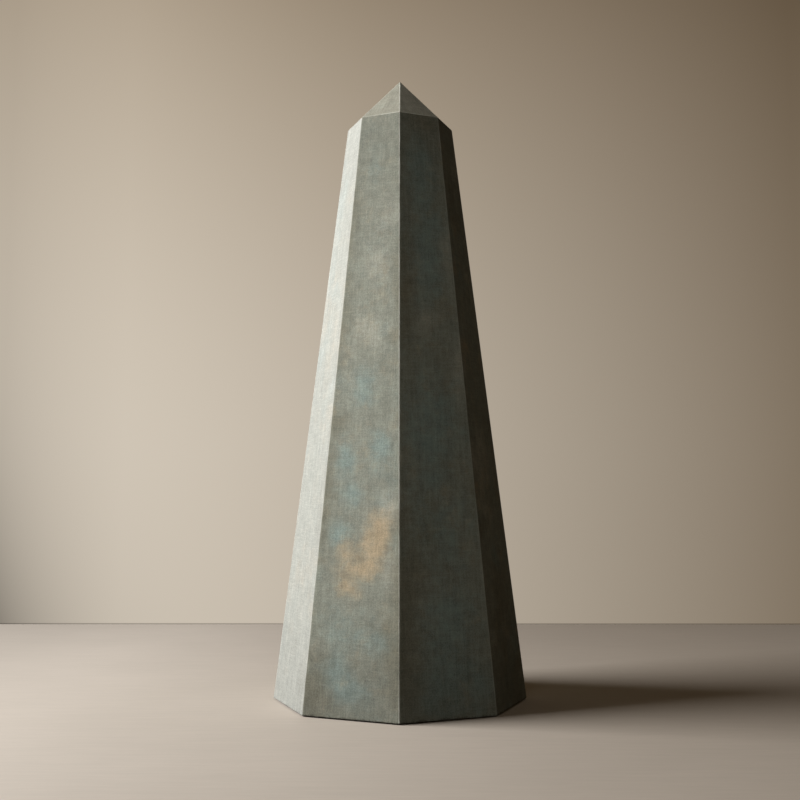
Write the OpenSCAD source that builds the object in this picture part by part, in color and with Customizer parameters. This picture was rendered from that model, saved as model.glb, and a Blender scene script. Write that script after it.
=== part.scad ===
// Floor-standing octagonal obelisk: a hollow shell of eight tapered boards,
// mitred at the arrises, under a pyramid cap of eight triangular boards.
// Origin: middle of the footprint, on the floor. +Z is up and -Y is the front,
// where one arris of the octagon points.

/* [Overall] */
// Height from the floor to the apex
overall_h = 2400; // [1900:10:2900]
// Width across the flats at the foot of the shaft
foot_flats = 880; // [700:5:1100]
// Width across the flats at the neck, where the cap starts
neck_flats = 380; // [300:5:480]
// Height of the pyramid cap above the neck
cap_h = 200; // [140:5:300]

/* [Boards] */
// Thickness of the shaft boards
shaft_board_t = 18; // [12:1:24]
// Thickness of the cap boards
cap_board_t = 12; // [9:1:18]
// Width of the narrow flat that eases each arris
arris_flat = 2.5; // [1:0.5:5]
// Glue line in each mitre
glue_gap = 0.05; // [0:0.05:0.3]
// Height below the apex at which the cap's arris flats die out
sharp_tip_h = 10; // [5:1:30]

/* [Foot] */
// Thickness of the base board let into the foot of the shaft
base_board_t = 18; // [12:1:30]
// Play between the base board's edge and the shaft boards
base_play = 0.2; // [0:0.1:1]
// Height of the glides, which lifts the shaft clear of the floor
glide_h = 5; // [3:1:12]
// Diameter of a glide
glide_d = 50; // [30:1:80]
// Chamfer round the lower edge of a glide
glide_chamfer = 1.5; // [0.5:0.5:2.5]
// Distance from a glide's edge to the corner of the base board
glide_margin = 40; // [20:1:80]

/* [Hidden] */
sides = 8;
step_angle = 360 / sides;
half_angle = step_angle / 2;
foot_z = glide_h;
neck_z = overall_h - cap_h;
foot_apothem = foot_flats / 2;
neck_apothem = neck_flats / 2;
// Larger than the obelisk, for the solids that cut it to shape
reach = 2 * overall_h;

// The first board faces front left, and the rest follow anticlockwise from above
SIDE_NAMES = [
    "front_left", "front_right", "right_front", "right_back",
    "back_right", "back_left", "left_back", "left_front"
];
// The first glide stands by the front arris, and the rest follow the same way
ARRIS_NAMES = [
    "front", "front_right", "right", "back_right",
    "back", "back_left", "left", "front_left"
];
SHAFT_NODES = [for (side = SIDE_NAMES) str("shaft_board_", side)];
CAP_NODES = [for (side = SIDE_NAMES) str("cap_board_", side)];
GLIDE_NODES = [for (arris = ARRIS_NAMES) str("glide_", arris)];

// Direction of arris k from the axis, and of the board before it
function arris_angle(k) = -90 + step_angle * k;
function side_angle(k) = arris_angle(k) - half_angle;

// Distance from the axis to a sharp arris, from that to the flat beside it
function corner(apothem) = apothem / cos(half_angle);

// How far in from the sharp arris its narrow flat lies
ease_depth = arris_flat / 2 * tan(half_angle);

// Lean from the vertical of a face that goes from r0 at z0 to r1 at z1
function lean(r0, z0, r1, z1) = atan((r0 - r1) / (z1 - z0));
shaft_lean = lean(foot_apothem, foot_z, neck_apothem, neck_z);

// Everything inside the plane that faces +X and passes through r0 at z0 and r1 at z1
module inside_plane(r0, z0, r1, z1) {
    translate([r0, 0, z0])
        rotate([0, -lean(r0, z0, r1, z1), 0])
            translate([-reach, -reach / 2, -reach / 2])
                cube(reach);
}

// The layer of thickness t behind that same plane
module leaning_slab(r0, z0, r1, z1, t) {
    translate([r0, 0, z0])
        rotate([0, -lean(r0, z0, r1, z1), 0])
            translate([-t, -reach / 2, -reach / 2])
                cube([t, reach, reach]);
}

// The eighth of the plan between two glue lines, from height z0 to z1
module sector(z0, z1) {
    translate([glue_gap / 2 / sin(half_angle), 0, z0])
        linear_extrude(z1 - z0)
            polygon([
                [0, 0],
                reach * [cos(half_angle), -sin(half_angle)],
                reach * [cos(half_angle), sin(half_angle)]
            ]);
}

// The space between the two arris flats of a board that faces +X
module between_arris_flats(r0, z0, r1, z1) {
    intersection() {
        rotate([0, 0, -half_angle]) inside_plane(r0, z0, r1, z1);
        rotate([0, 0, half_angle]) inside_plane(r0, z0, r1, z1);
    }
}

// Tapered shaft board number k
module shaft_board(k) {
    color("#8f9184")
        rotate([0, 0, side_angle(k)])
            intersection() {
                sector(foot_z, neck_z);
                leaning_slab(foot_apothem, foot_z, neck_apothem, neck_z, shaft_board_t);
                between_arris_flats(corner(foot_apothem) - ease_depth, foot_z,
                                    corner(neck_apothem) - ease_depth, neck_z);
            }
}

// Triangular cap board number k
module cap_board(k) {
    color("#a3a294")
        rotate([0, 0, side_angle(k)])
            intersection() {
                sector(neck_z, reach);
                leaning_slab(neck_apothem, neck_z, 0, overall_h, cap_board_t);
                between_arris_flats(corner(neck_apothem) - ease_depth, neck_z,
                                    corner(neck_apothem) * sharp_tip_h / cap_h,
                                    overall_h - sharp_tip_h);
            }
}

// Distance from the axis to the edge of the base board, at height z
function base_apothem(z) =
    foot_apothem - shaft_board_t / cos(shaft_lean) - (z - foot_z) * tan(shaft_lean) - base_play;

// Octagonal board inside the foot, its edge bevelled to the lean of the shaft
module base_board() {
    top_z = foot_z + base_board_t;
    color("#b49a72")
        intersection() {
            translate([-reach / 2, -reach / 2, foot_z])
                cube([reach, reach, base_board_t]);
            intersection_for(k = [0 : sides - 1])
                rotate([0, 0, side_angle(k)])
                    inside_plane(base_apothem(foot_z), foot_z, base_apothem(top_z), top_z);
        }
}

// Round glide number k, under a corner of the base board
module glide(k) {
    centre_r = corner(base_apothem(foot_z)) - glide_margin - glide_d / 2;
    color("#2b2a28")
        rotate([0, 0, arris_angle(k)])
            translate([centre_r, 0, 0])
                rotate_extrude($fn = 64)
                    polygon([
                        [0, 0],
                        [glide_d / 2 - glide_chamfer, 0],
                        [glide_d / 2, glide_chamfer],
                        [glide_d / 2, glide_h],
                        [0, glide_h]
                    ]);
}

for (k = [0 : sides - 1]) {
    shaft_board(k);
    cap_board(k);
    glide(k);
}
base_board();
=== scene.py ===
import math

import bpy
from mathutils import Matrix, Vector


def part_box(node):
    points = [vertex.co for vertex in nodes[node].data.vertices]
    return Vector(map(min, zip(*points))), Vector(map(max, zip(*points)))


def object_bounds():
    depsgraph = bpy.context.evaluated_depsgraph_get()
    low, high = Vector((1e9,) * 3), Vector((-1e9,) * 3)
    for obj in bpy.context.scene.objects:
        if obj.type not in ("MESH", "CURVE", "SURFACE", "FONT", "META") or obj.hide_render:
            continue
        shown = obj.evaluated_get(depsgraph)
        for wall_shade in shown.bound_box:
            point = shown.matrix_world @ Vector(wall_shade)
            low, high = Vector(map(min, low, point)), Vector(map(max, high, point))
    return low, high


# An octagonal obelisk: a shell of tapered boards round a base board, under a pyramid cap
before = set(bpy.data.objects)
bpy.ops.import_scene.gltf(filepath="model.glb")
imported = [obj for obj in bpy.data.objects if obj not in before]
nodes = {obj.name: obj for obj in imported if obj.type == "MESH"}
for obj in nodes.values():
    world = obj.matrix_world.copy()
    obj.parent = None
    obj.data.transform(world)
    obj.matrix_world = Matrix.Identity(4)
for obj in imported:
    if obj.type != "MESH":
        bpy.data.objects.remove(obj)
cad_low, cad_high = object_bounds()


# ---------------------------------------------------------------- Glides
# Eight round glides of black moulded nylon, nailed under the base board near its
# corners. They lift the shell clear of the floor, which scuffs their undersides.

def colour(code):
    """Linear RGBA from a hex colour code."""
    parts = [int(code[i:i + 2], 16) / 255 for i in (1, 3, 5)]
    linear = [c / 12.92 if c <= 0.04045 else ((c + 0.055) / 1.055) ** 2.4 for c in parts]
    return (*linear, 1.0)


def add(tree, kind, inputs=None, **settings):
    """A node of that kind, with its inputs set to values or wired to other sockets."""
    made = tree.nodes.new(kind)
    for name, value in settings.items():
        setattr(made, name, value)
    for key, value in (inputs or {}).items():
        if isinstance(value, bpy.types.NodeSocket):
            tree.links.new(value, made.inputs[key])
        else:
            made.inputs[key].default_value = value
    return made


def calc(tree, operation, *values, clamp=False):
    """The result of one Math node."""
    made = add(tree, "ShaderNodeMath", dict(enumerate(values)), operation=operation, use_clamp=clamp)
    return made.outputs["Value"]


def ramp(tree, value, low, high, to_low=0.0, to_high=1.0):
    """value taken smoothly from the range low to high onto to_low to to_high."""
    made = add(tree, "ShaderNodeMapRange", {
        "Value": value, "From Min": low, "From Max": high, "To Min": to_low, "To Max": to_high,
    }, interpolation_type="SMOOTHSTEP")
    return made.outputs["Result"]


def blend(tree, share, first, second, how="MIX"):
    """Two colours mixed by share, which is 0 for the first."""
    made = add(tree, "ShaderNodeMix", data_type="RGBA", blend_type=how)
    for name, value in (("Factor_Float", share), ("A_Color", first), ("B_Color", second)):
        socket = next(s for s in made.inputs if s.identifier == name)
        if isinstance(value, bpy.types.NodeSocket):
            tree.links.new(value, socket)
        else:
            socket.default_value = value
    return next(s for s in made.outputs if s.identifier == "Result_Color")


def new_group(name, inputs, outputs):
    """A shader node group with those sockets, and its input and output nodes."""
    tree = bpy.data.node_groups.new(name, "ShaderNodeTree")
    kinds = {"float": "NodeSocketFloat", "vector": "NodeSocketVector", "colour": "NodeSocketColor"}
    for label, kind in inputs.items():
        tree.interface.new_socket(label, in_out="INPUT", socket_type=kinds[kind])
    for label, kind in outputs.items():
        tree.interface.new_socket(label, in_out="OUTPUT", socket_type=kinds[kind])
    return tree, tree.nodes.new("NodeGroupInput").outputs, tree.nodes.new("NodeGroupOutput").inputs


def use(tree, group, inputs=None):
    """A group placed in a material or in another group: its outputs."""
    return add(tree, "ShaderNodeGroup", inputs, node_tree=group).outputs


def new_material(name):
    """An empty node material: its tree and its Principled BSDF."""
    made = bpy.data.materials.new(name)
    made.use_nodes = True
    made.node_tree.nodes.clear()
    shader = made.node_tree.nodes.new("ShaderNodeBsdfPrincipled")
    output = made.node_tree.nodes.new("ShaderNodeOutputMaterial")
    made.node_tree.links.new(shader.outputs["BSDF"], output.inputs["Surface"])
    return made, made.node_tree, shader


WELD_DISTANCE = 1e-5
SHARPEST_SMOOTH = math.radians(15)


def finish(names, material, ease, segments):
    """Gives CAD nodes their material, and rounds their edges by a radius of about ease."""
    for name in names:
        piece = nodes[name]
        for slot in piece.material_slots:
            slot.material = material
        weld = piece.modifiers.new("weld", "WELD")
        weld.merge_threshold = WELD_DISTANCE
        bevel = piece.modifiers.new("ease", "BEVEL")
        bevel.width = ease
        bevel.segments = segments
        bevel.limit_method = "ANGLE"
        bevel.angle_limit = SHARPEST_SMOOTH
        bevel.harden_normals = True


def place(tree):
    """Where a point is in the object's frame, in metres."""
    return add(tree, "ShaderNodeTexCoord").outputs["Object"]


# Soft noise with features of a given size in metres, sharpened between two levels
cloud, given, result = new_group(
    "cloud",
    {"Vector": "vector", "Size": "float", "Seed": "float", "Detail": "float",
     "Roughness": "float", "From": "float", "To": "float"},
    {"Mask": "float"},
)
noise = add(cloud, "ShaderNodeTexNoise", {
    "Vector": given["Vector"], "W": given["Seed"], "Scale": calc(cloud, "DIVIDE", 1.0, given["Size"]),
    "Detail": given["Detail"], "Roughness": given["Roughness"],
}, noise_dimensions="4D")
cloud.links.new(ramp(cloud, noise.outputs["Fac"], given["From"], given["To"]), result["Mask"])


def clouds(tree, vector, size, seed, low=0.35, high=0.65, detail=3.0, roughness=0.5):
    """The mask of one cloud group."""
    return use(tree, cloud, {
        "Vector": vector, "Size": size, "Seed": seed, "Detail": detail,
        "Roughness": roughness, "From": low, "To": high,
    })["Mask"]


GLIDE_EASE = 0.0006
NYLON = colour("#262523")
SCUFFED_NYLON = colour("#3a3835")

glide_material, tree, shader = new_material("glide_nylon")
point = place(tree)
scuff = clouds(tree, point, 0.006, 3.0, 0.45, 0.6)
tree.links.new(blend(tree, scuff, NYLON, SCUFFED_NYLON), shader.inputs["Base Color"])
tree.links.new(ramp(tree, scuff, 0.0, 1.0, 0.42, 0.62), shader.inputs["Roughness"])
grit = add(tree, "ShaderNodeBump", {
    "Strength": 0.3, "Distance": 0.0004, "Height": clouds(tree, point, 0.002, 8.0),
})
tree.links.new(grit.outputs["Normal"], shader.inputs["Normal"])
finish([n for n in nodes if n.startswith("glide_")], glide_material, GLIDE_EASE, 2)


# ---------------------------------------------------------------- Base board
# An octagon of bare birch plywood, let in flush with the foot of the shaft and
# glued to the boards. Its face grain runs across the obelisk.

# Wood grain along one axis, with long figure and short pores
ply_grain, given, result = new_group(
    "ply_grain", {"Vector": "vector", "Seed": "float"}, {"Figure": "float", "Pores": "float"},
)
stretched = add(ply_grain, "ShaderNodeMapping", {"Vector": given["Vector"], "Scale": (0.12, 1.0, 1.0)})
figure = clouds(ply_grain, stretched.outputs["Vector"], 0.016, given["Seed"], 0.3, 0.7, 4.0)
ply_grain.links.new(figure, result["Figure"])
pores = clouds(ply_grain, stretched.outputs["Vector"], 0.0018, given["Seed"], 0.55, 0.75)
ply_grain.links.new(pores, result["Pores"])

PLY_PALE = colour("#cdb083")
PLY_WARM = colour("#b0905f")
PLY_PORE = colour("#8a6a42")
PLY_DUST = colour("#9c9184")
BASE_EASE = 0.001


def bare_ply(tree, vector, seed):
    """Colour and height of sanded plywood."""
    wood = use(tree, ply_grain, {"Vector": vector, "Seed": seed})
    tone = blend(tree, wood["Figure"], PLY_PALE, PLY_WARM)
    tone = blend(tree, calc(tree, "MULTIPLY", wood["Pores"], 0.5), tone, PLY_PORE)
    return tone, calc(tree, "SUBTRACT", calc(tree, "MULTIPLY", wood["Figure"], 0.3), wood["Pores"])


base_material, tree, shader = new_material("base_plywood")
point = place(tree)
tone, height = bare_ply(tree, point, 5.0)
dust = clouds(tree, point, 0.11, 12.0, 0.4, 0.7)
tone = blend(tree, calc(tree, "MULTIPLY", dust, 0.25), tone, PLY_DUST)
tree.links.new(tone, shader.inputs["Base Color"])
tree.links.new(ramp(tree, dust, 0.0, 1.0, 0.6, 0.75), shader.inputs["Roughness"])
grain = add(tree, "ShaderNodeBump", {"Strength": 0.4, "Distance": 0.0005, "Height": height})
tree.links.new(grain.outputs["Normal"], shader.inputs["Normal"])
finish(["base_board"], base_material, BASE_EASE, 2)


# ---------------------------------------------------------------- Shaft boards
# Eight tapered boards, mitred along their long edges and covered in a coarse scrim.
# The matt patina paint over it is grey-green, clouded with blue-green and ochre,
# and is rubbed pale along the arrises, the front one partly as a painted highlight.
# It also carries painted light toward the window, painted shade under the neck, and is darker towards
# the foot.

SIDES = 8
STEP = math.tau / SIDES
foot_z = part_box("shaft_board_front_left")[0].z
neck_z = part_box("shaft_board_front_left")[1].z
foot_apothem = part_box("shaft_board_right_front")[1].x * math.cos(STEP / 2)
neck_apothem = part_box("cap_board_right_front")[1].x * math.cos(STEP / 2)

# The plane of the nearest board: how far across it a point lies, how far in from its
# nearer long edge, which board it is, whether the face is outside, and a grid across
# and along the board, in which each board has a layer of its own
board_plane, given, result = new_group(
    "board_plane",
    {"Rise": "float"},
    {"Across": "float", "Edge": "float", "Board": "float", "Outside": "float", "Grid": "vector"},
)
point = place(board_plane)
axes = add(board_plane, "ShaderNodeSeparateXYZ", {"Vector": point}).outputs
turn = calc(board_plane, "ARCTAN2", axes["Y"], axes["X"])
board = calc(board_plane, "FLOOR", calc(board_plane, "DIVIDE", turn, STEP))
off_centre = calc(board_plane, "SUBTRACT", calc(board_plane, "FLOORED_MODULO", turn, STEP), STEP / 2)
outward = add(board_plane, "ShaderNodeVectorMath", {0: point, 1: (1, 1, 0)}, operation="MULTIPLY")
radius = add(board_plane, "ShaderNodeVectorMath", {0: outward.outputs["Vector"]}, operation="LENGTH")
radius = radius.outputs["Value"]
across = calc(board_plane, "MULTIPLY", radius, calc(board_plane, "SINE", off_centre))
apothem = calc(board_plane, "MULTIPLY", radius, calc(board_plane, "COSINE", off_centre))
half_width = calc(board_plane, "MULTIPLY", apothem, math.tan(STEP / 2))
facing = add(board_plane, "ShaderNodeVectorMath", {
    0: add(board_plane, "ShaderNodeVectorMath", {0: outward.outputs["Vector"]},
           operation="NORMALIZE").outputs["Vector"],
    1: add(board_plane, "ShaderNodeNewGeometry").outputs["True Normal"],
}, operation="DOT_PRODUCT").outputs["Value"]
LAYER_GAP = 3.7
grid = add(board_plane, "ShaderNodeCombineXYZ", {
    "X": across,
    "Y": calc(board_plane, "MULTIPLY", axes["Z"], given["Rise"]),
    "Z": calc(board_plane, "MULTIPLY", board, LAYER_GAP),
})
board_plane.links.new(across, result["Across"])
board_plane.links.new(calc(board_plane, "SUBTRACT", half_width, calc(board_plane, "ABSOLUTE", across)),
                      result["Edge"])
board_plane.links.new(board, result["Board"])
board_plane.links.new(calc(board_plane, "GREATER_THAN", facing, 0.3), result["Outside"])
board_plane.links.new(grid.outputs["Vector"], result["Grid"])

# Scrim: an uneven open weave whose thick and thin threads run along and across the board
scrim, given, result = new_group(
    "scrim",
    {"Grid": "vector", "Pitch": "float"},
    {"Threads": "float", "Height": "float"},
)


def slubs(thickness, length, seed):
    """Uneven threads along and across the board, as two masks."""
    masks = []
    for scale in ((1 / thickness, 1 / length, 1.0), (1 / length, 1 / thickness, 1.0)):
        vector = add(scrim, "ShaderNodeMapping", {"Vector": given["Grid"], "Scale": scale})
        masks.append(clouds(scrim, vector.outputs["Vector"], 1.0, seed, 0.4, 0.75, 1.0))
    return masks


coarse_up, coarse_across = slubs(0.0055, 0.075, 2.0)
fine_up, fine_across = slubs(0.0026, 0.04, 9.0)
lines = add(scrim, "ShaderNodeVectorMath", {
    0: given["Grid"], "Scale": calc(scrim, "DIVIDE", math.tau, given["Pitch"]),
}, operation="SCALE")
lines = add(scrim, "ShaderNodeSeparateXYZ", {"Vector": lines.outputs["Vector"]}).outputs
weave = calc(scrim, "MULTIPLY", calc(scrim, "SINE", lines["X"]), calc(scrim, "SINE", lines["Y"]))
coarse = calc(scrim, "MULTIPLY_ADD", coarse_across, 0.75, coarse_up)
fine = calc(scrim, "ADD", fine_up, fine_across)
threads = calc(scrim, "MULTIPLY_ADD", coarse, 0.35, calc(scrim, "MULTIPLY", fine, 0.15))
scrim.links.new(threads, result["Threads"])
scrim.links.new(calc(scrim, "MULTIPLY_ADD", weave, 0.25, threads), result["Height"])

# Rubbed edge: strongest on the edge itself, and broken up along it
rubbed, given, result = new_group(
    "rubbed",
    {"Edge": "float", "Width": "float", "Vector": "vector"},
    {"Mask": "float"},
)
worn = clouds(rubbed, given["Vector"], 0.12, 21.0, 0.3, 0.62, 6.0, 0.6)
near = ramp(rubbed, calc(rubbed, "DIVIDE", given["Edge"], given["Width"]), 1.0, 0.4)
worn = calc(rubbed, "MULTIPLY_ADD", worn, 0.8, 0.2)
rubbed.links.new(calc(rubbed, "MULTIPLY", near, worn), result["Mask"])

# Stain: a soft patch round a point of the object, fading out at its size
stain, given, result = new_group("stain", {"Centre": "vector", "Size": "vector"}, {"Share": "float"})
offset = add(stain, "ShaderNodeVectorMath", {0: place(stain), 1: given["Centre"]}, operation="SUBTRACT")
offset = add(stain, "ShaderNodeVectorMath", {0: offset.outputs["Vector"], 1: given["Size"]},
             operation="DIVIDE")
distance = add(stain, "ShaderNodeVectorMath", {0: offset.outputs["Vector"]}, operation="LENGTH")
stain.links.new(ramp(stain, distance.outputs["Value"], 1.0, 0.0), result["Share"])

GROUND = colour("#999888")      # the shaft's paint where it is even
WARM_LIT_GROUND = colour("#9f9a8a")  # the cap's, paler and warmer, partly as painted light from above
SHADE = colour("#847d69")       # brownish, where it is thin
PALE = colour("#b7b2a0")        # chalky
VERDIGRIS = colour("#96a49b")   # blue-green
OCHRE = colour("#c9af8b")       # warm
PAINTED_LIGHT_TONE = colour("#b8b5ac")    # painted light: paler paint on the boards that face the window light
RUBBED_AND_HIGHLIGHT = colour("#dcd8c8")      # pale filler showing along the arrises, and on the front arris also a painted highlight
DIRT_AND_SHADE = colour("#5f5a4d")       # darker towards the foot, dirt scuffed along the lowest edge, and painted shade under the neck and on the cap's side away from the light


def on_board(board, across, height):
    """The point of a board's outer face at that distance from its middle line, at that height."""
    share = (height - foot_z) / (neck_z - foot_z)
    apothem = foot_apothem + (neck_apothem - foot_apothem) * share
    angle = STEP * (board + 0.5)
    return Vector((
        apothem * math.cos(angle) - across * math.sin(angle),
        apothem * math.sin(angle) + across * math.cos(angle),
        height,
    ))


# Stains, each as its board, distance from that board's middle line, height, reach across,
# reach up, and strength. Boards count from the one that faces just anticlockwise of +X.
FRONT_LEFT, FRONT_RIGHT, RIGHT_FRONT, BACK_RIGHT, BACK_LEFT = -3, -2, -1, 1, 2
PALE_STAINS = [
    (FRONT_LEFT, 0.05, 1.80, 0.08, 0.16, 0.7),
    (FRONT_LEFT, 0.01, 1.62, 0.08, 0.16, 0.7),
    (FRONT_LEFT, 0.01, 1.36, 0.14, 0.13, 0.8),
    (FRONT_LEFT, 0.11, 0.72, 0.09, 0.12, 0.9),
    (FRONT_LEFT, 0.13, 0.50, 0.07, 0.13, 0.9),
    (FRONT_RIGHT, 0.08, 1.66, 0.05, 0.35, 0.8),
    (FRONT_RIGHT, -0.02, 1.39, 0.09, 0.09, 0.8),
    (FRONT_RIGHT, 0.11, 1.22, 0.07, 0.27, 0.9),
]
VERDIGRIS_STAINS = [
    (FRONT_LEFT, -0.06, 0.89, 0.08, 0.11, 0.9),
    (FRONT_LEFT, 0.07, 0.93, 0.08, 0.13, 0.8),
    (FRONT_LEFT, -0.04, 0.76, 0.08, 0.09, 1.0),
    (FRONT_LEFT, -0.08, 0.63, 0.08, 0.09, 0.7),
    (FRONT_LEFT, -0.05, 0.29, 0.16, 0.12, 0.7),
    (FRONT_LEFT, -0.06, 0.15, 0.10, 0.11, 1.2),
    (FRONT_LEFT, 0.01, 0.09, 0.12, 0.08, 0.9),
    (FRONT_LEFT, 0.09, 0.27, 0.09, 0.10, 0.6),
    (FRONT_LEFT, -0.02, 1.13, 0.09, 0.12, 0.7),
    (FRONT_LEFT, -0.02, 2.00, 0.07, 0.12, 0.6),
    (FRONT_RIGHT, -0.01, 1.98, 0.10, 0.24, 1.0),
    (FRONT_RIGHT, 0.0, 1.66, 0.11, 0.30, 1.0),
    (FRONT_RIGHT, 0.0, 1.00, 0.20, 0.27, 1.0),
    (FRONT_RIGHT, 0.0, 0.68, 0.17, 0.28, 0.7),
    (FRONT_RIGHT, 0.02, 0.30, 0.20, 0.27, 0.9),
    (FRONT_RIGHT, 0.12, 0.10, 0.12, 0.16, 0.9),
    (FRONT_RIGHT, -0.03, 0.10, 0.14, 0.14, 0.9),
]
OCHRE_STAINS = [
    (FRONT_LEFT, 0.08, 0.63, 0.10, 0.14, 1.0),
    (FRONT_LEFT, 0.05, 0.54, 0.10, 0.11, 0.7),
    (FRONT_LEFT, -0.045, 0.54, 0.09, 0.11, 0.6),
    (FRONT_LEFT, -0.02, 0.46, 0.12, 0.11, 0.7),
    (BACK_RIGHT, -0.05, 0.95, 0.13, 0.20, 0.8),
    (BACK_LEFT, 0.06, 0.42, 0.14, 0.16, 0.8),
]
SHADE_STAINS = [
    (FRONT_LEFT, -0.15, 0.78, 0.09, 0.50, 1.0),
    (FRONT_LEFT, -0.10, 1.02, 0.07, 0.10, 0.7),
    (FRONT_LEFT, -0.12, 1.40, 0.08, 0.40, 0.9),
    (FRONT_LEFT, -0.10, 1.78, 0.07, 0.30, 0.9),
    (FRONT_LEFT, -0.16, 0.10, 0.14, 0.20, 1.0),
    (FRONT_LEFT, 0.15, 0.18, 0.11, 0.32, 0.35),
    (FRONT_LEFT, 0.01, 0.55, 0.04, 0.06, 0.5),
    (FRONT_LEFT, 0.02, 1.14, 0.05, 0.05, 0.5),
    (FRONT_RIGHT, -0.10, 1.50, 0.07, 0.74, 0.9),
    (FRONT_RIGHT, -0.15, 0.40, 0.11, 0.80, 1.0),
    (FRONT_RIGHT, -0.02, 0.60, 0.13, 0.22, 0.6),
    (FRONT_RIGHT, 0.03, 2.17, 0.14, 0.10, 0.8),
    (RIGHT_FRONT, 0.05, 0.20, 0.25, 0.50, 0.9),
]


# Coats in the order they went on: how far each covers what is under it, how much of it
# lies in clouds beside its own stains, those stains, the size of its wisps, and a seed
COATS = [
    (PALE, 0.8, 0.9, PALE_STAINS, 0.06, 7.5),
    (VERDIGRIS, 0.85, 0.9, VERDIGRIS_STAINS, 0.08, 11.0),
    (OCHRE, 0.82, 0.4, OCHRE_STAINS, 0.07, 17.0),
    (SHADE, 0.65, 0.8, SHADE_STAINS, 0.07, 4.0),
]
FRONT_SCATTER = 0.3     # share of those clouds that the two front boards have
CAP_COVER = 0.5         # share of each coat that the cap has

# Brightness of the paint: an even part, and the most that each kind of mark adds
EVEN = 0.525
STREAKS = 0.13
THREADS = 0.38
SPECKLES = 0.42
MOTTLES = 0.20
# Painted light: on the boards toward the window the mottling is weaker and the paint brighter
MOTTLES_ON_LIT_SIDE = 0.10
PAINTED_LIGHT_LIFT = 0.05

# Painted light: where the window light comes from, and how far the boards facing it are painted paler
DAYLIGHT_FROM = math.radians(172)
PAINTED_LIGHT_SHARE = 0.66
# Darker towards the foot: how far up it reaches, and how much
FOOT_DARKENING_REACH = 0.5
FOOT_DARKENING = 0.38
# Painted shade: how far down from the neck the shaft is darkened, and how much
NECK_SHADE_REACH = 0.9
NECK_SHADE = 0.27
CAP_SHADE = 0.3         # painted shade on the cap's side away from the window light
SCUFF = 0.65
RUB_WIDTH = 0.0042
RUB = 0.4
SCRIM_PITCH = 0.0024
BOARD_EASE = 0.0009


def stains(tree, places, elsewhere, point, size, seed):
    """The mask of some stains, and of more of the same in clouds elsewhere, all broken into wisps."""
    wisps = clouds(tree, point, size, seed, 0.0, 1.0, 7.0, 0.68)
    wide = clouds(tree, point, 0.24, seed + 40.0, 0.48, 0.70, 3.0)
    total = calc(tree, "MULTIPLY_ADD", wide, elsewhere, calc(tree, "MULTIPLY_ADD", wisps, 1.6, -0.8))
    for board, across, height, width, tall, strength in places:
        share = use(tree, stain, {
            "Centre": on_board(board, across, height), "Size": (width, width, tall),
        })["Share"]
        total = calc(tree, "MULTIPLY_ADD", share, strength, total)
    return ramp(tree, total, 0.0, 1.2)


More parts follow.
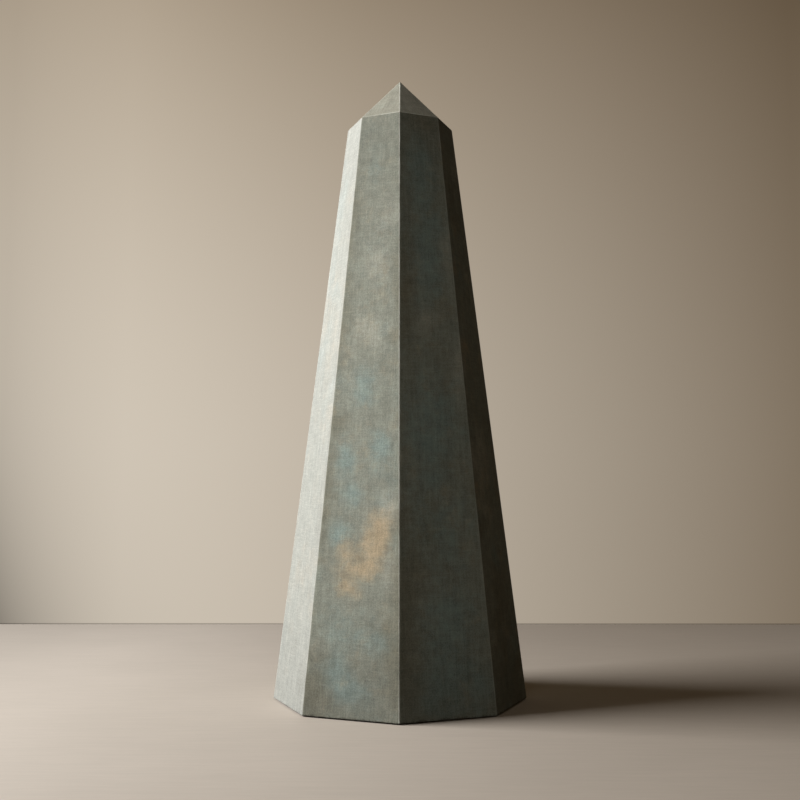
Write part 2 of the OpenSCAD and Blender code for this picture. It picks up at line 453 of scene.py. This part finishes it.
def patina_paint(name, ground, rise, is_cap, low_z, high_z):
    """Patina paint over scrim, on boards that lie between two heights."""
    made, tree, shader = new_material(name)
    point = place(tree)
    height = add(tree, "ShaderNodeSeparateXYZ", {"Vector": point}).outputs["Z"]
    plane = use(tree, board_plane, {"Rise": rise})
    weave = use(tree, scrim, {"Grid": plane["Grid"], "Pitch": SCRIM_PITCH})

    # Thin coats dabbed over each other
    from_front = calc(tree, "ADD", plane["Board"], -(FRONT_LEFT + FRONT_RIGHT) / 2)
    on_front = calc(tree, "LESS_THAN", calc(tree, "ABSOLUTE", from_front), 1.0)
    tone = ground
    for coat, cover, scatter, places, size, seed in COATS:
        if coat == OCHRE and is_cap:
            continue
        elsewhere = calc(tree, "MULTIPLY_ADD", on_front, (FRONT_SCATTER - 1) * scatter, scatter)
        mask = stains(tree, [] if is_cap else places, elsewhere, point, size, seed)
        share = cover * CAP_COVER if is_cap else cover
        tone = blend(tree, calc(tree, "MULTIPLY", mask, share), tone, coat)

    # Painted light: the boards toward the window light are painted paler and less mottled, as lit faces
    # look
    turned = calc(tree, "MULTIPLY_ADD", calc(tree, "ADD", plane["Board"], 0.5), STEP, -DAYLIGHT_FROM)
    toward_daylight = calc(tree, "COSINE", turned)
    lit_side = ramp(tree, toward_daylight, 0.3, 0.85)
    mottles = calc(tree, "MULTIPLY_ADD", lit_side, MOTTLES_ON_LIT_SIDE - MOTTLES, MOTTLES)

    # Brush streaks along the board, the scrim's threads, and a fine speckle
    streak = add(tree, "ShaderNodeMapping", {"Vector": plane["Grid"], "Scale": (1.0, 0.05, 1.0)})
    streak = clouds(tree, streak.outputs["Vector"], 0.014, 15.0, 0.25, 0.75, 5.0)
    speckle = clouds(tree, point, 0.0042, 31.0, 0.32, 0.68, 4.0, 0.75)
    mottle = clouds(tree, point, 0.032, 27.0, 0.3, 0.7, 5.0, 0.65)
    value = calc(tree, "MULTIPLY_ADD", streak, STREAKS, EVEN)
    value = calc(tree, "MULTIPLY_ADD", weave["Threads"], THREADS, value)
    value = calc(tree, "MULTIPLY_ADD", speckle, SPECKLES, value)
    value = calc(tree, "MULTIPLY_ADD", mottle, mottles, value)
    # Painted light: brighter paint on the boards toward the window light
    value = calc(tree, "MULTIPLY_ADD", lit_side, PAINTED_LIGHT_LIFT, value)

    # Darkening: painted shade on the cap's side away from the window light; on the shaft,
    # darker towards the foot, painted shade down from the neck, and dirt scuffed along the lowest edge
    if is_cap:
        # Painted shade on the cap's faces turned away from the window light
        dirt_and_shade = ramp(tree, toward_daylight, 0.0, -0.5, 0.0, CAP_SHADE)
    else:
        uneven = calc(tree, "MULTIPLY", calc(tree, "ADD", speckle, mottle), 0.05)
        # Darker towards the foot
        at_foot = ramp(tree, calc(tree, "ADD", height, uneven), low_z + FOOT_DARKENING_REACH, low_z)
        # Painted shade: darker down from the neck, over the upper part of the shaft
        shade_under_neck = calc(tree, "SUBTRACT", height, uneven)
        shade_under_neck = ramp(tree, shade_under_neck, high_z - NECK_SHADE_REACH, high_z)
        shade_under_neck = calc(tree, "MULTIPLY", shade_under_neck, NECK_SHADE)
        dirt_and_shade = calc(tree, "MULTIPLY_ADD", at_foot, FOOT_DARKENING, shade_under_neck)
        kicked = calc(tree, "MULTIPLY_ADD", uneven, 0.12, height)
        scuffed = calc(tree, "MULTIPLY", ramp(tree, kicked, low_z + 0.013, low_z + 0.004), SCUFF)
        dirt_and_shade = calc(tree, "ADD", dirt_and_shade, scuffed, clamp=True)
    # Painted shade, a darker foot and scuffed dirt, all in one dark colour
    tone = blend(tree, dirt_and_shade, tone, DIRT_AND_SHADE)

    # Painted light: paler tone on the boards toward the window light
    tone = blend(tree, calc(tree, "MULTIPLY", lit_side, PAINTED_LIGHT_SHARE), tone, PAINTED_LIGHT_TONE)
    tone = blend(tree, 1.0, tone, value, "MULTIPLY")

    # Rubbed arrises, where pale filler shows; the upper part of the front one is paler still, partly
    # wear and partly a painted highlight
    edge = plane["Edge"]
    if is_cap:
        edge = calc(tree, "MINIMUM", edge, calc(tree, "SUBTRACT", height, low_z))
    rub_and_highlight = use(tree, rubbed, {"Edge": edge, "Width": RUB_WIDTH, "Vector": point})["Mask"]
    # Painted highlight, on top of the wear, along the upper part of the front arris
    front_arris_highlight = calc(tree, "MULTIPLY", calc(tree, "COMPARE", plane["Board"], FRONT_LEFT, 0.5),
                       calc(tree, "GREATER_THAN", plane["Across"], 0.0))
    front_arris_highlight = calc(tree, "MULTIPLY", front_arris_highlight, ramp(tree, height, 0.2, 1.4, 0.15, 0.5))
    rub_and_highlight = calc(tree, "MULTIPLY", rub_and_highlight, calc(tree, "ADD", front_arris_highlight, RUB))
    tone = blend(tree, rub_and_highlight, tone, RUBBED_AND_HIGHLIGHT)

    # The faces inside and at the ends of a board are bare plywood
    bare, _ = bare_ply(tree, plane["Grid"], 11.0)
    tone = blend(tree, plane["Outside"], bare, tone)
    tree.links.new(tone, shader.inputs["Base Color"])
    rough = calc(tree, "MULTIPLY_ADD", rub_and_highlight, -0.12, calc(tree, "MULTIPLY_ADD", speckle, 0.1, 0.78))
    tree.links.new(rough, shader.inputs["Roughness"])
    shader.inputs["Specular IOR Level"].default_value = 0.06 if is_cap else 0.2

    # The scrim and the paint stand up less on the cap
    relief = 0.35 if is_cap else 1.0
    bump = add(tree, "ShaderNodeBump", {
        "Strength": 0.5 * relief, "Distance": 0.0009, "Height": weave["Height"],
    })
    bump = add(tree, "ShaderNodeBump", {
        "Strength": 0.35 * relief, "Distance": 0.0006, "Height": speckle,
        "Normal": bump.outputs["Normal"],
    })
    tree.links.new(bump.outputs["Normal"], shader.inputs["Normal"])
    return made


shaft_rise = math.hypot(1.0, (foot_apothem - neck_apothem) / (neck_z - foot_z))
shaft_paint = patina_paint("shaft_paint", GROUND, shaft_rise, False, foot_z, neck_z)
finish([n for n in nodes if n.startswith("shaft_board_")], shaft_paint, BOARD_EASE, 3)


# ---------------------------------------------------------------- Cap boards
# Eight triangular boards, mitred into a low pyramid that sits on the ends of the
# shaft boards. Their paint is a little paler and warmer, partly as painted light from above,
# is rubbed along the lower edge too, and has painted shade on the side away from the window.

apex_z = cad_high.z
cap_rise = math.hypot(1.0, neck_apothem / (apex_z - neck_z))
cap_paint = patina_paint("cap_paint", WARM_LIT_GROUND, cap_rise, True, neck_z, apex_z)
finish([n for n in nodes if n.startswith("cap_board_")], cap_paint, BOARD_EASE, 3)


# ---------------------------------------------------------------- Floor and surround
# A pale floor with a faint sweep of the float in it, painted lighter on the window side,
# and walls that glow with painted light and shade and show only from inside, so that
# they never stand between a camera and the obelisk.

def mesh_object(name, points, faces):
    """A mesh object made from points and faces."""
    mesh = bpy.data.meshes.new(name)
    mesh.from_pydata(points, [], faces)
    made = bpy.data.objects.new(name, mesh)
    bpy.context.scene.collection.objects.link(made)
    return made


FLOOR_REACH = 30.0
FLOOR_LIT = colour("#c3b6a8")
FLOOR_SHADED = colour("#ae9f8f")
FLOOR_MOTTLE = colour("#948a7c")

floor = mesh_object(
    "floor",
    [(-FLOOR_REACH, -FLOOR_REACH, 0), (FLOOR_REACH, -FLOOR_REACH, 0),
     (FLOOR_REACH, FLOOR_REACH, 0), (-FLOOR_REACH, FLOOR_REACH, 0)],
    [(0, 1, 2, 3)],
)
floor_material, tree, shader = new_material("pale_floor")
point = place(tree)
sweep = add(tree, "ShaderNodeMapping", {"Vector": point, "Scale": (0.06, 1.0, 1.0)})
sweep = clouds(tree, sweep.outputs["Vector"], 0.012, 2.0, 0.25, 0.75, 4.0, 0.7)
mottle = clouds(tree, point, 0.6, 6.0, 0.2, 0.8)
across_room = add(tree, "ShaderNodeSeparateXYZ", {"Vector": point}).outputs["X"]
# Painted light and shade: paler on the window side to the left, darker to the right, and darker again
# toward the left-hand wall
tone = blend(tree, ramp(tree, across_room, -1.6, 1.9), FLOOR_LIT, FLOOR_SHADED)
tone = blend(tree, 1.0, tone, ramp(tree, across_room, -2.4, -1.2, 0.76, 1.0), "MULTIPLY")
tone = blend(tree, 1.0, tone, calc(tree, "MULTIPLY_ADD", sweep, 0.08, 0.96), "MULTIPLY")
tone = blend(tree, calc(tree, "MULTIPLY", mottle, 0.12), tone, FLOOR_MOTTLE)
tree.links.new(tone, shader.inputs["Base Color"])
shader.inputs["Roughness"].default_value = 0.7
floor.data.materials.append(floor_material)
floor.visible_diffuse = False

ROOM_HALF_X = 2.75
ROOM_HALF_Y = 2.42
ROOM_HEIGHT = 8.0
WALL_LIT = colour("#d6cbbb")
WALL_SHADED = colour("#817463")
DIMS_ABOVE = 1.0        # the painted light on the walls falls off upward from here
DIMMEST = 0.3
CORNER_X = -2.45        # the painted shade in the left-hand corner starts here

outline = [(ROOM_HALF_X, -ROOM_HALF_Y), (ROOM_HALF_X, ROOM_HALF_Y),
           (-ROOM_HALF_X, ROOM_HALF_Y), (-ROOM_HALF_X, -ROOM_HALF_Y)]
count = len(outline)
walls = mesh_object(
    "walls",
    [(x, y, z) for z in (0.0, ROOM_HEIGHT) for x, y in outline],
    [(i, i + count, (i + 1) % count + count, (i + 1) % count) for i in range(count)],
)
wall_material = bpy.data.materials.new("wall_painted_light")
wall_material.use_nodes = True
tree = wall_material.node_tree
tree.nodes.clear()
axes = add(tree, "ShaderNodeSeparateXYZ", {"Vector": place(tree)}).outputs
# Painted light: the glowing walls are brighter toward the window on the left and darker to the right,
# fall off upward, and have painted shade in the left-hand corner
to_right = add(tree, "ShaderNodeMapRange", {"Value": axes["X"], "From Min": -1.7, "From Max": 2.45})
tone = blend(tree, to_right.outputs["Result"], WALL_LIT, WALL_SHADED)
raised = calc(tree, "MAXIMUM", calc(tree, "SUBTRACT", axes["Z"], DIMS_ABOVE), 0.0)
dimming = ramp(tree, axes["X"], -2.4, 0.0, -0.07, -0.092)
fall = calc(tree, "MULTIPLY", calc(tree, "POWER", raised, 1.5), dimming)
level = calc(tree, "ADD", fall, 1.0, clamp=True)
level = calc(tree, "MAXIMUM", level, DIMMEST)
from_left = calc(tree, "MAXIMUM", calc(tree, "ADD", axes["X"], -CORNER_X), 0.0)
from_left = calc(tree, "POWER", 0.15, from_left)
deeper_low = calc(tree, "MULTIPLY_ADD", calc(tree, "POWER", 0.35, axes["Z"]), 0.52, 0.13)
wall_shade = calc(tree, "SUBTRACT", 1.0, calc(tree, "MULTIPLY", from_left, deeper_low))
# Painted shadow: a thin dark line where the walls meet the floor
floor_line_shadow = ramp(tree, axes["Z"], 0.004, 0.009, 0.55, 1.0)
wall_shade = calc(tree, "MULTIPLY", wall_shade, floor_line_shadow)

# Where the painted light on a wall dims it also turns warmer
warmth = add(tree, "ShaderNodeCombineXYZ", {
    "X": calc(tree, "MULTIPLY", calc(tree, "POWER", level, 0.85), wall_shade),
    "Y": calc(tree, "MULTIPLY", level, wall_shade),
    "Z": calc(tree, "MULTIPLY", calc(tree, "POWER", level, 1.2), wall_shade),
}).outputs["Vector"]
glow = add(tree, "ShaderNodeEmission", {"Color": blend(tree, 1.0, tone, warmth, "MULTIPLY")})
clear = add(tree, "ShaderNodeBsdfTransparent")
seen = add(tree, "ShaderNodeMixShader", {
    "Fac": add(tree, "ShaderNodeNewGeometry").outputs["Backfacing"],
    1: glow.outputs["Emission"], 2: clear.outputs["BSDF"],
})
add(tree, "ShaderNodeOutputMaterial", {"Surface": seen.outputs["Shader"]})
walls.data.materials.append(wall_material)
for rays in ("diffuse", "glossy", "transmission", "shadow", "volume_scatter"):
    setattr(walls, "visible_" + rays, False)


# ---------------------------------------------------------------- Light
# One large soft window light from the left, a weak fill from the front, and a
# moderate light on the obelisk alone from behind on the right.

AIM_HEIGHT = 1.1


def area_light(name, azimuth, distance, height, width, tall, power, tint):
    """A rectangular light at an angle anticlockwise from +X, aimed at the obelisk's axis."""
    data = bpy.data.lights.new(name, "AREA")
    data.shape = "RECTANGLE"
    data.size = width
    data.size_y = tall
    data.energy = power
    data.color = colour(tint)[:3]
    made = bpy.data.objects.new(name, data)
    angle = math.radians(azimuth)
    made.location = (distance * math.cos(angle), distance * math.sin(angle), height)
    aim = Vector((0, 0, AIM_HEIGHT)) - made.location
    made.rotation_euler = aim.to_track_quat("-Z", "Y").to_euler()
    made.visible_camera = False
    bpy.context.scene.collection.objects.link(made)
    return made


area_light("window", azimuth=185.2, distance=6.5, height=4.5, width=4.5, tall=3.0,
           power=1030, tint="#f7fbff")
area_light("fill", azimuth=262, distance=6.0, height=2.6, width=3.0, tall=3.0,
           power=39, tint="#f8ffff")
rim = area_light("rim", azimuth=80, distance=5.0, height=3.4, width=2.0, tall=2.5,
                 power=190, tint="#fff8ee")
obelisk = bpy.data.collections.new("obelisk")
for piece in nodes.values():
    obelisk.objects.link(piece)
rim.light_linking.receiver_collection = obelisk

world = bpy.data.worlds.new("world")
bpy.context.scene.world = world
world.use_nodes = True
tree = world.node_tree
BELOW = colour("#0a0a08")
ABOVE = colour("#413523")
direction = add(tree, "ShaderNodeTexCoord").outputs["Generated"]
upward = add(tree, "ShaderNodeSeparateXYZ", {"Vector": direction}).outputs["Z"]
ceiling = blend(tree, ramp(tree, upward, -0.1, 0.5), BELOW, ABOVE)
tree.links.new(ceiling, tree.nodes["Background"].inputs["Color"])


# ---------------------------------------------------------------- Camera
# At about seated eye level, just off square to the front arris, looking slightly up.

CAMERA_BACK = 4.085
CAMERA_HEIGHT = 0.742
CAMERA_TURN = math.radians(0.24)
CAMERA_TILT = math.radians(5.42)
LENS = 47.8
SENSOR = 36.0
lens = bpy.data.cameras.new("camera")
lens.lens = LENS
lens.sensor_width = SENSOR
camera = bpy.data.objects.new("camera", lens)
camera.location = (
    CAMERA_BACK * math.sin(CAMERA_TURN),
    -CAMERA_BACK * math.cos(CAMERA_TURN),
    CAMERA_HEIGHT,
)
camera.rotation_euler = (math.pi / 2 + CAMERA_TILT, 0, CAMERA_TURN)
bpy.context.scene.collection.objects.link(camera)
bpy.context.scene.camera = camera
bpy.context.scene.view_settings.view_transform = "Standard"
